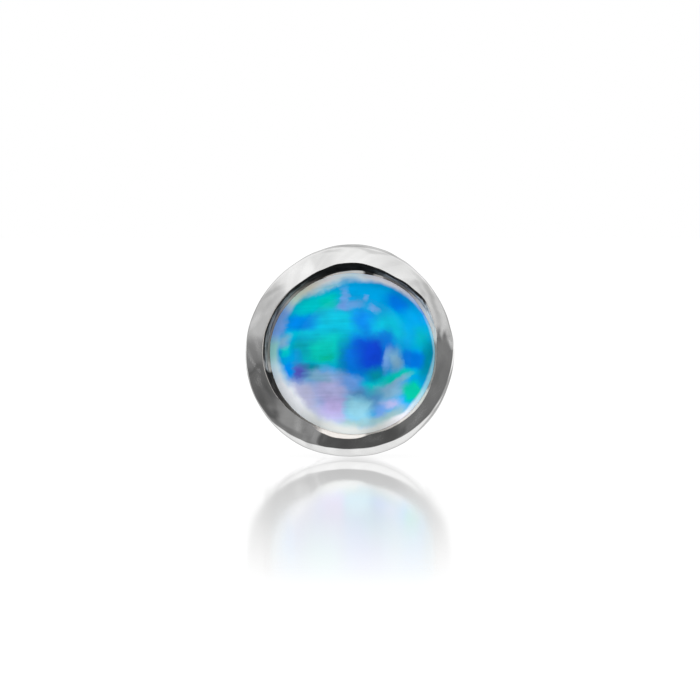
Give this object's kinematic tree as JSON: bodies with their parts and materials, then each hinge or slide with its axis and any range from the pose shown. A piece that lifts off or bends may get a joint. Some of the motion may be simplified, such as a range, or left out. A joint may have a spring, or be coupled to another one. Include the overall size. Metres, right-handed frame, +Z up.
{
  "type": "nose screw",
  "caption": "Round bezel-set opal on a tapered white metal cup, soldered to a straight wire post that bends into an open curl with a rounded tip.",
  "frame": {"origin": "on the surface the part lies on, under the middle of its bounding box", "axes": "+Z up, -Y the way the stone faces (it looks up by 8.7 degrees), +Y along the post towards the curl, +X to the right as the stone is seen"},
  "size_m": [0.0038, 0.0094, 0.0031],
  "materials": {
    "white_gold": "polished white gold, finely hand rubbed",
    "opal": "polished dome with blue, turquoise and green play of colour and a milky edge"
  },
  "bodies": {
    "root": {"bezel_screw": "white_gold", "opal": "opal"}
  },
  "joints": []
}
